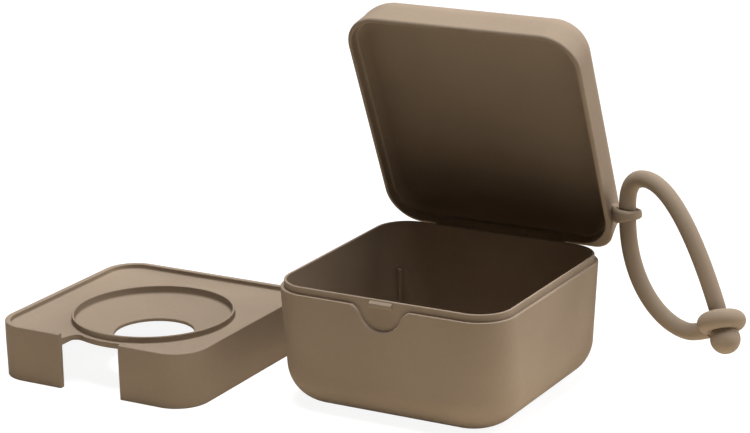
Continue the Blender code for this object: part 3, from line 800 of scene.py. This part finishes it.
@dataclass
class Lid:
    """The upper shell, with its rebate, catch notch, middle knuckle and strap eye."""

    base: Base = field(default_factory=Base)
    overhang: float = 0.00065
    gap: float = 0.0003
    corner: float = 0.0110
    lug_corner: float = 0.0065
    top_corner: float = 0.0007
    draft: float = 0.00066
    depth: float = 0.0172
    fillet: float = 0.0111
    wall: float = 0.0023
    lip: float = 0.0014
    rebate: float = 0.0026
    edge: float = 0.0008
    lip_edge: float = 0.0003
    catch_clearance: float = 0.0003
    eye_out: float = 0.00485
    eye_from_hinge: float = 0.0128
    eye_radius: float = 0.0041
    eye_hole: float = 0.0031
    eye_thickness: float = 0.0026
    eye_root_front: float = -0.0008
    eye_root_back: float = 0.0036
    eye_root_step: float = 0.0006
    eye_root_nick: float = 0.0003
    eye_back_hollow: float = 0.0003
    eye_front_hollow: tuple[float, float] = (-0.0002, 0.0004)
    eye_wrap: float = 156.0
    eye_rise: float = 0.0027
    eye_tilt: float = 62.3
    eye_lean: float = -6.0
    eye_swell: float = 0.75
    eye_edge: float = 0.0008
    eye_hole_edge: float = 0.0003
    eye_flare: float = 0.0007
    eye_round_steps: int = 40
    eye_back_steps: int = 8
    eye_front_steps: int = 6
    web_bearings: tuple[float, float] = (160, 45)

    @property
    def half_x(self) -> float:
        """Half the lid's width at the rim."""
        return self.base.half_x + self.overhang

    @property
    def half_y(self) -> float:
        """Half the lid's depth at the rim."""
        return self.base.half_y + self.overhang

    @property
    def rim(self) -> float:
        """The rim's height on the closed lid."""
        return self.base.seam + self.gap

    @property
    def eye_middle(self) -> Vector:
        """The eye's middle on the closed lid."""
        return Vector((self.half_x + self.eye_out, HINGE.y - self.eye_from_hinge, self.rim + self.eye_rise))

    def shell(self) -> BMesh:
        """The lid's skin from the ceiling down the inside, round the rim and over the top."""
        dome = self.rim + self.depth - self.fillet
        whole = Section(self.half_x, self.half_y, self.corner, self.rim)
        inner = whole.inset(self.wall, dome)
        inner = Section(inner.half_x - self.draft, inner.half_y - self.draft, inner.corner, dome)
        ceiling = list(reversed(quarter_round(inner, self.top_corner, self.fillet - self.wall, 1)))
        ledge = self.rim + self.rebate
        outer = Section(self.half_x - self.draft, self.half_y - self.draft, self.corner, dome,
                        lug=self.lug_corner)
        top = quarter_round(outer, self.top_corner, self.fillet, 1)
        turn = soften([ceiling[-1], whole.inset(self.wall, ledge, self.lip_edge),
                       whole.inset(self.lip, ledge, self.lip_edge),
                       whole.inset(self.lip, self.rim, self.lip_edge),
                       whole.inset(0, self.rim, self.edge).squarer(self.lug_corner), top[0]])
        return moulding(ceiling + turn[1:-1] + top)

    def catch_tool(self) -> BMesh:
        """The cutter of the notch that the latch bead snaps into."""
        half = self.base.bead_width / 2 + self.catch_clearance
        face = -self.base.half_y + self.base.collar_inset - self.base.bead_proud - self.catch_clearance
        return soft_block((-half, face, self.rim - OVERRUN),
                          (half, -self.half_y + self.lip + self.catch_clearance,
                           self.base.collar_top + self.catch_clearance), 0)

    def eye_outline(self) -> list[Vector]:
        """The eye's flat outline about its hole, with its root inside the lid's wall."""
        root = -self.eye_out - self.wall / 2
        wall = -self.eye_out
        tip = arc((0, 0), self.eye_radius, radians(-self.eye_wrap), QUARTER, self.eye_round_steps)
        points = [Vector((x, y, 0)) for x, y in tip]
        end, back = points[-1], Vector((wall, self.eye_root_back, 0))
        for step in range(1, self.eye_back_steps + 1):
            share = step / self.eye_back_steps
            points.append(end.lerp(back, share) - Vector((0, self.eye_back_hollow * sin(pi * share), 0)))
        points += [Vector((root, self.eye_root_back, 0)), Vector((root, self.eye_root_back / 2, 0)),
                   Vector((root, -self.eye_root_front, 0))]
        front = Vector((wall, -self.eye_root_front - self.eye_root_step, 0))
        points.append(front + Vector((-self.eye_root_nick, self.eye_root_nick, 0)))
        for step in range(1, self.eye_front_steps):
            share = step / self.eye_front_steps
            inward = Vector((*self.eye_front_hollow, 0)) * sin(pi * share)
            points.append(front.lerp(points[0], share) + inward)
        return points

    def eye_ring(self, share: float, height: float) -> list[Vector]:
        """The points between the hole's edge (0) and the outline (1) at a height of the plate."""
        points = []
        for point in self.eye_outline():
            hole = point.normalized() * self.eye_hole
            spot = hole.lerp(point, share)
            near = max(0.0, self.eye_flare - (spot.x + self.eye_out))
            flare = self.eye_flare - sqrt(max(self.eye_flare ** 2 - min(near, self.eye_flare) ** 2, 0))
            swell = 1 + self.eye_swell * min(max((self.eye_radius / 2 - spot.x) / self.eye_out, 0), 1)
            points.append(Vector((spot.x, spot.y, height * swell + copysign(flare, height))))
        return points

    def eye(self) -> BMesh:
        """The strap eye: a plate with a round hole and rounded edges."""
        half, edge, bore = self.eye_thickness / 2, self.eye_edge, self.eye_hole_edge
        rim = self.eye_radius - self.eye_hole
        section = [*arc((bore, bore - half), bore, -pi, -QUARTER, 4),
                   *arc((rim - edge, edge - half), edge, -QUARTER, 0, 4),
                   *arc((rim - edge, half - edge), edge, 0, QUARTER, 4),
                   *arc((bore, half - bore), bore, QUARTER, pi, 4)]
        loft = Loft.from_points(self.eye_ring(section[0][0] / rim, section[0][1]), capped=False)
        for out, height in section[1:] + section[:1]:
            loft.draw_to(self.eye_ring(out / rim, height))
        place = (Matrix.Translation(self.eye_middle) @ Matrix.Rotation(radians(self.eye_tilt), 4, "X")
                 @ Matrix.Rotation(radians(self.eye_lean), 4, "Y"))
        return moved(loft.join_round(), place)

    def knuckle_web(self) -> Profile:
        """The outline of the web over the lid's knuckle, from the hinge line."""
        wall, rim = self.half_y - HINGE.y, self.rim - HINGE.z
        inside = wall - self.lip / 2
        return [*HINGE.meet(*self.web_bearings), (wall, rim + HINGE.web_height),
                (inside, rim + HINGE.web_height), (inside, rim)]

    def build(self) -> None:
        """Build and dress the lid's pieces on the open lid."""
        rooms = [HINGE.room(start, start + HINGE.base_length)
                 for start in (-HINGE.base_end, HINGE.base_start)]
        knuckle = HINGE.knuckle(-HINGE.lid_half, HINGE.lid_half, self.knuckle_web())
        shell = machined(self.shell(), [self.catch_tool(), *rooms], Cut.REMOVE)
        for name, bm in (("lid_shell", shell), ("lid_eye", self.eye()), ("lid_knuckle", knuckle)):
            dressed(name, moved(bm, HINGE.opened), Body.LID, "lid", LID_PLASTIC)


# ---- tray


@dataclass
class Tray:
    """The lift-out tray: a skirt under a rimmed deck, with a ring, a dish and a round hole."""

    place: Vector = field(default_factory=lambda: Vector((-0.08606, -0.01833, 0)))
    half: float = 0.0339
    corner: float = 0.0098
    height: float = 0.0164
    wall: float = 0.0016
    taper: float = 0.00023
    taper_start: float = 0.0110
    deck_drop: float = 0.0015
    deck_fall: float = 0.0006
    slope_width: float = 0.0051
    flat_corner: float = 0.0200
    deck_thickness: float = 0.0016
    edge: float = 0.0003
    deck_fillet: float = 0.0005
    ring_radius: float = 0.0239
    ring_wall: float = 0.0007
    ring_rise: float = 0.0019
    ring_x: float = 0.0018
    ring_y: float = -0.0030
    ring_foot: float = 0.0003
    ring_root: float = 0.0006
    hole_radius: float = 0.0118
    dish_lip_drop: float = 0.0004
    dish_depth: float = 0.0045
    dish_thickness: float = 0.0010
    dish_lip: Profile = ((0, 0.0004), (-0.0002, 0), (-0.0006, -0.0003))
    opening_floor: float = 0.006
    notch_width: float = 0.0204
    notch_x: float = 0.0001
    notch_arc: float = 0.0252
    notch_fillet: float = 0.0020
    cut_edge: float = 0.0002
    relief_start: float = 0.0145
    relief_width: float = 0.0120
    relief_height: float = 0.0020
    relief_round: float = 0.0060
    skin: float = 0.0001
    round_steps: int = 160
    side_cuts: int = 60
    notch_steps: int = 24
    notch_fillet_steps: int = 12

    @property
    def deck(self) -> float:
        """The deck's height round the ring."""
        return self.height - self.deck_drop - self.deck_fall

    def relief(self, point: Vector) -> float:
        """How far the skirt's edge lifts at a point: two low reliefs under its back."""
        if point.y < self.half - self.wall - self.taper - self.skin:
            return 0.0
        inside = min(abs(point.x) - self.relief_start, self.relief_start + self.relief_width - abs(point.x))
        if inside <= 0:
            return 0.0
        inside = min(inside, self.relief_round)
        return min(self.relief_round - sqrt(self.relief_round ** 2 - inside ** 2), self.relief_height)

    def shell(self) -> BMesh:
        """The skirt, rim and deck in one skin."""
        rim = Section(self.half, self.half, self.corner, self.height)
        low = rim.inset(self.taper, 0, self.edge / 2)
        inner = rim.inset(self.wall, self.height)
        under = self.deck - self.deck_thickness
        flat = inner.half_x - self.slope_width
        path = [inner.inset(self.taper, under), inner.inset(self.taper, 0), low.inset(0, 0),
                rim.inset(0, self.taper_start), rim.inset(0, self.height, self.edge),
                inner.inset(0, self.height, self.edge),
                inner.inset(0, self.deck + self.deck_fall, self.deck_fillet),
                Section(flat, flat, self.flat_corner, self.deck, self.deck_fillet),
                Section(flat, flat, self.flat_corner, self.deck).inset(OVERRUN, self.deck)]
        return moulding(soften(path), side_cuts=self.side_cuts, lift=self.relief)

    def notch_outline(self) -> list[Vector]:
        """The front notch from above: it ends on an arc round the ring, with rounded inner corners."""
        span = self.notch_arc + self.notch_fillet
        halves, turns = [], []
        for side in (-1, 1):
            edge_x = self.notch_x + side * self.notch_width / 2
            middle_x = edge_x - side * self.notch_fillet
            middle_y = self.ring_y - sqrt(span ** 2 - (middle_x - self.ring_x) ** 2)
            end = atan2(self.ring_y - middle_y, side * (self.ring_x - middle_x))
            fillet = arc((0, middle_y), self.notch_fillet, 0, end, self.notch_fillet_steps)
            halves.append([(edge_x, -self.half - OVERRUN), *((middle_x + side * x, y) for x, y in fillet)])
            turns.append(atan2(middle_y - self.ring_y, middle_x - self.ring_x))
        far = arc((self.ring_x, self.ring_y), self.notch_arc, *turns, self.notch_steps)[1:-1]
        return [Vector((x, y, -OVERRUN)) for x, y in halves[0] + far + halves[1][::-1]]

    def dish(self) -> BMesh:
        """The ring wall and the dish that falls from it to the hole."""
        inner, top, edge = self.ring_radius - self.ring_wall, self.deck + self.ring_rise, self.edge
        hole_z, foot = self.deck - self.dish_depth, self.ring_foot
        slope = atan2(self.dish_depth, inner - self.hole_radius)
        lip = self.deck - self.dish_lip_drop
        profile = [(self.ring_radius + foot, self.deck - self.ring_root),
                   *arc((self.ring_radius + foot, self.deck + foot), foot, 3 * QUARTER, pi, 4),
                   *arc((self.ring_radius - edge, top - edge), edge, 0, QUARTER, 4),
                   *arc((inner + edge, top - edge), edge, QUARTER, pi, 4),
                   *((inner + out, lip + rise) for out, rise in self.dish_lip),
                   *arc((self.hole_radius + edge, hole_z - edge), edge, QUARTER + slope, pi, 4),
                   (self.hole_radius, hole_z - self.dish_thickness), (inner, lip - self.dish_thickness)]
        return turned(profile, self.round_steps, Matrix.Translation((self.ring_x, self.ring_y, 0)))

    def build(self) -> None:
        """Build and dress the tray's pieces."""
        middle = Vector((self.ring_x, self.ring_y, 0))
        opening = round_bar(self.ring_radius - self.ring_wall / 2,
                            middle + Vector((0, 0, self.opening_floor)),
                            middle + Vector((0, 0, self.height + OVERRUN)), self.round_steps)
        notch = extruded(self.notch_outline(), Vector((0, 0, self.height + 3 * OVERRUN)))
        shell = machined(self.shell(), [opening, notch], Cut.REMOVE)
        reach, front = self.notch_width / 2 + self.skin, self.ring_y - self.ring_radius + 2 * self.skin

        def by_notch(spot: Vector) -> bool:
            """Whether a point lies on the notch's cut."""
            return abs(spot.x - self.notch_x) < reach and spot.y < front

        round_edges(shell, sharp_edges(shell, by_notch), self.cut_edge)
        for name, bm in (("tray_shell", shell), ("tray_ring_and_dish", self.dish())):
            dressed(name, moved(bm, Matrix.Translation(self.place)), Body.TRAY, "insert_tray", TRAY_PLASTIC)


# ---- strap and pin


@dataclass
class Strap:
    """The carrying strap: a round strand in the lid's eye, its ring and the ball pushed through it."""

    eye: Vector
    radius: float = 0.00245
    turn: float = -15.0
    top: tuple[float, float] = (0.00645, 0.01155)
    low: tuple[float, float] = (0.0220, -0.0301)
    end: tuple[float, float] = (0.0304, -0.0277)
    ring: tuple[float, float] = (0.0338, -0.0247)
    ring_radius: float = 0.00415
    ring_tube: float = 0.0027
    ring_lean: float = 27.6
    ring_tilt: float = 20.6
    entry_lean: float = 22.7
    entry_above: float = 0.0043
    neck: float = 0.0021
    ball: float = 0.00425
    ball_below: float = 0.0050
    ball_lean: float = 31.8
    ball_tilt: float = 17.0
    pull_top: float = 0.0025
    pull_top_in: float = 0.0078
    pull_outer: float = 0.0092
    pull_ring: float = 0.0179
    pull_inner: float = 0.0199
    pull_low: float = 0.0095
    pull_end: float = 0.0030
    pull_entry: float = 0.6
    neck_blend: float = 0.0026
    seam_rise: float = 0.00005
    seam_narrow: float = 8.0
    steps: int = 44
    sides: int = 40
    tube_sides: int = 32
    ring_steps: int = 72
    ball_steps: tuple[int, int] = (64, 40)

    @property
    def middle(self) -> Vector:
        """The ring's middle."""
        return Vector((self.ring[0], 0, self.ring[1]))

    @staticmethod
    def leaning(lean_deg: float, tilt_deg: float) -> Vector:
        """A downward way that leans away from the eye and tilts out of the loop's plane."""
        lean, tilt = radians(lean_deg), radians(tilt_deg)
        return Vector((sin(lean) * cos(tilt), -sin(tilt), -cos(lean) * cos(tilt)))

    @property
    def place(self) -> Matrix:
        """Puts the loop's plane in the lid's eye."""
        return Matrix.Translation(self.eye) @ Matrix.Rotation(radians(self.turn), 4, "Z")

    def span(self, start: Vector, start_pull: Vector, end_pull: Vector, end: Vector) -> list[Vector]:
        """Points along one smooth span, without its last point."""
        points = []
        for step in range(self.steps):
            t = step / self.steps
            u = 1 - t
            points.append(u ** 3 * start + 3 * u * u * t * start_pull + 3 * u * t * t * end_pull
                          + t ** 3 * end)
        return points

    def route(self) -> list[tuple[Vector, float]]:
        """The strand's middle line, from its moulded ring round the loop to the ball, with its radius."""
        end, low, top = (Vector((x, 0, z)) for x, z in (self.end, self.low, self.top))
        eye, flat, rise = Vector((0, 0, 0)), Vector((1, 0, 0)), Vector((0, 0, 1))
        lean = radians(self.entry_lean)
        along = Vector((sin(lean), 0, -cos(lean)))
        entry = self.middle - along * self.entry_above
        way_down = self.leaning(self.ball_lean, self.ball_tilt)
        ball = self.middle + way_down * self.ball_below
        end_way = (end - low).normalized()
        points = self.span(end, end - end_way * self.pull_end, low + flat * self.pull_end, low)
        points += self.span(low, low - flat * self.pull_low, eye - rise * self.pull_inner, eye)
        points += self.span(eye, eye + rise * self.pull_top, top - flat * self.pull_top_in, top)
        points += self.span(top, top + flat * self.pull_outer, entry - along * self.pull_ring, entry)
        route = [(point, self.radius) for point in points]
        pull = self.entry_above * self.pull_entry
        for point in self.span(entry, entry + along * pull, ball - way_down * pull, ball)[::3] + [ball]:
            ease = min(1.0, (point - entry).length / self.neck_blend)
            route.append((point, self.radius + (self.neck - self.radius) * ease * ease * (3 - 2 * ease)))
        return route

    def strand_ring(self, point: Vector, way: Vector, radius: float) -> list[Vector]:
        """The strand's skin at a point, with the parting line on the loop's inside and outside."""
        side = way.cross(Vector((0, 1, 0))).normalized()
        front = side.cross(way)
        ring = []
        for step in range(self.sides):
            turn = tau * step / self.sides
            reach = radius + self.seam_rise * max(0.0, 1 - abs(sin(turn)) * self.seam_narrow)
            ring.append(point + side * (reach * cos(turn)) + front * (reach * sin(turn)))
        return ring

    def strand(self) -> BMesh:
        """The strand from its moulded ring round the loop to the ball."""
        route = self.route()
        rings = []
        for number, (point, radius) in enumerate(route):
            before = route[max(number - 1, 0)][0]
            after = route[min(number + 1, len(route) - 1)][0]
            rings.append(self.strand_ring(point, (after - before).normalized(), radius))
        loft = Loft.from_points(rings[0])
        for ring in rings[1:]:
            loft.draw_to(ring)
        return loft.close()

    def end_ring(self) -> BMesh:
        """The ring at the strand's end."""
        profile = arc((self.ring_radius, 0), self.ring_tube, 0, tau, self.tube_sides)[:-1]
        turn = self.leaning(self.ring_lean, self.ring_tilt).to_track_quat("Z", "Y").to_matrix().to_4x4()
        return turned(profile, self.ring_steps, Matrix.Translation(self.middle) @ turn)

    def stop_ball(self) -> BMesh:
        """The ball that holds the strand in the ring."""
        way_down = self.leaning(self.ball_lean, self.ball_tilt)
        turn = way_down.to_track_quat("Z", "Y").to_matrix().to_4x4()
        bm = bmesh.new()
        place = Matrix.Translation(self.middle + way_down * self.ball_below) @ turn
        bmesh.ops.create_uvsphere(bm, u_segments=self.ball_steps[0], v_segments=self.ball_steps[1],
                                  radius=self.ball, matrix=place)
        return face_outwards(bm)

    def build(self) -> None:
        """Build and dress the strap's pieces."""
        for name, bm in (("strap_strand", self.strand()), ("strap_ring", self.end_ring()),
                         ("strap_ball", self.stop_ball())):
            dressed(name, moved(bm, self.place), Body.STRAP, "strap", STRAP_SILICONE, sharp_degrees=60)


@dataclass
class Pin:
    """The hinge's steel pin, coloured near-black as painted shade over the hinge."""

    edge: float = 0.00015
    sides: int = 40

    def build(self) -> None:
        """Build and dress the pin."""
        half = Vector((HINGE.base_end - HINGE.pin_short, 0, 0))
        middle = Vector((0, HINGE.y, HINGE.z))
        bm = round_bar(HINGE.pin_radius, middle - half, middle + half, self.sides, self.edge)
        dressed("hinge_pin_rod", bm, Body.CASE, "hinge_pin", PIN_STEEL)


# ---- studio


@dataclass(frozen=True)
class SoftLight:
    """A square soft light: where it stands, what it looks at, its size and its power."""

    name: str
    spot: tuple[float, float, float]
    aim: tuple[float, float, float]
    size: float
    power: float

    def build(self) -> None:
        """Add the light."""
        data = bpy.data.lights.new(self.name, "AREA")
        data.energy, data.size = self.power, self.size
        light = added(self.name, data)
        light.location = self.spot
        light.rotation_euler = (Vector(self.aim) - Vector(self.spot)).to_track_quat("-Z", "Y").to_euler()


@dataclass
class Studio:
    """The camera, the floor, the white surround and the soft lights."""

    azimuth: float = 0.5118563461880831
    elevation: float = 0.2891103062122098
    roll: float = -0.014632782247568511
    focal: float = 2521.101038801517
    distance: float = 0.7188356
    target: tuple[float, float, float] = (-0.02125090, 0.0, 0.04755374)
    sensor: float = 36.0
    clip_start: float = 0.01
    floor_half: float = 2.0
    floor_glow: float = 0.91
    floor_shadow: float = 0.22
    floor_bounce: tuple[float, float, float] = (0.96, 0.86, 0.71)
    sheet_near: float = 0.20
    sheet_far: float = 0.34
    ambient: float = 0.0
    lights: tuple[SoftLight, ...] = (
        SoftLight("overhead", (-0.02, 0.0, 0.95), (-0.02, 0, 0.03), 0.5, 10.7),
        SoftLight("right_back", (0.596, 0.5, 0.545), (-0.02, 0, 0.03), 0.5, 5.0),
        SoftLight("right_fill", (0.881, 0.0, 0.356), (-0.02, 0, 0.03), 0.5, 0.7),
    )

    def camera(self) -> None:
        """Add the camera at the photograph's viewing angle."""
        level = Vector((cos(self.azimuth), sin(self.azimuth), 0))
        back = Vector((sin(self.azimuth) * cos(self.elevation),
                       -cos(self.azimuth) * cos(self.elevation), sin(self.elevation)))
        upright = back.cross(level)
        right = level * cos(self.roll) + upright * sin(self.roll)
        up = upright * cos(self.roll) - level * sin(self.roll)
        data = bpy.data.cameras.new("camera")
        data.sensor_width, data.sensor_fit = self.sensor, "HORIZONTAL"
        data.lens = self.focal * self.sensor / PHOTO_WIDTH
        data.clip_start = self.clip_start
        camera = added("camera", data)
        place = Matrix((right, up, back)).transposed().to_4x4()
        place.translation = Vector(self.target) + back * self.distance
        camera.matrix_world = place
        bpy.context.scene.camera = camera

    @staticmethod
    def choose(graph: Graph, lighting: bpy.types.Node, seen: bpy.types.Node, output: str) -> None:
        """Finish a tree: one shader lights the object, the other is what the camera sees.

        Args:
            graph: The tree.
            lighting: The shader that light bounces off.
            seen: The shader on rays from the camera, also by way of gloss and glass.
            output: The type of the tree's output node.
        """
        rays = graph.add("LightPath").outputs
        sight = rays["Is Camera Ray"]
        for name in ("Is Glossy Ray", "Is Transmission Ray"):
            sight = graph.add("Math", {0: sight, 1: rays[name]}, operation="MAXIMUM").outputs[0]
        mix = graph.add("MixShader", {0: sight, 1: lighting.outputs[0], 2: seen.outputs[0]})
        graph.add(output, {"Surface": mix.outputs[0]})

    def sheet(self, graph: Graph) -> Socket:
        """The colour that the floor throws back: a pale sheet round the object, dark beyond it."""
        place = graph.add("TexCoord").outputs["Object"]
        reach = graph.add("VectorMath", {0: place}, operation="LENGTH").outputs["Value"]
        span = {"Value": reach, "From Min": self.sheet_near, "From Max": self.sheet_far}
        fade = graph.add("MapRange", span, interpolation_type="SMOOTHSTEP").outputs["Result"]
        return graph.add("Mix", {"Factor": fade, 6: (*self.floor_bounce, 1), 7: (0, 0, 0, 1)},
                         data_type="RGBA").outputs[2]

    def floor(self) -> None:
        """Add the plain pale floor, which keeps the object's shadow."""
        bm = bmesh.new()
        bmesh.ops.create_grid(bm, x_segments=1, y_segments=1, size=self.floor_half)
        floor = added("floor", as_mesh(bm, "floor"))
        paper = bpy.data.materials.new("pale_paper")
        graph = Graph(paper)
        graph.nodes.clear()
        dull = graph.add("BsdfDiffuse", {"Color": self.sheet(graph)})
        lit = graph.add("BsdfDiffuse", {"Color": (*(self.floor_shadow,) * 3, 1)})
        glow = graph.add("Emission", {"Strength": self.floor_glow})
        pale = graph.add("AddShader", {0: lit.outputs[0], 1: glow.outputs[0]})
        self.choose(graph, dull, pale, "OutputMaterial")
        floor.data.materials.append(paper)

    def surround(self) -> None:
        """Make the world white where it is seen and dark where it lights."""
        world = bpy.data.worlds.new("surround")
        bpy.context.scene.world = world
        graph = Graph(world)
        graph.nodes.clear()
        dim = graph.add("Background", {"Strength": self.ambient})
        white = graph.add("Background", {"Color": (1, 1, 1, 1)})
        self.choose(graph, dim, white, "OutputWorld")

    def build(self) -> None:
        """Set the studio up."""
        bpy.context.scene.view_settings.view_transform = "Standard"
        self.camera()
        self.floor()
        self.surround()
        for light in self.lights:
            light.build()


def main() -> None:
    """Build the case piece by piece, then the studio."""
    logging.basicConfig(level=logging.INFO, format="%(message)s")
    base = Base()
    base.build()
    lid = Lid(base)
    lid.build()
    Tray().build()
    Strap(HINGE.opened @ lid.eye_middle).build()
    Pin().build()
    Studio().build()


if __name__ == "__main__":
    main()
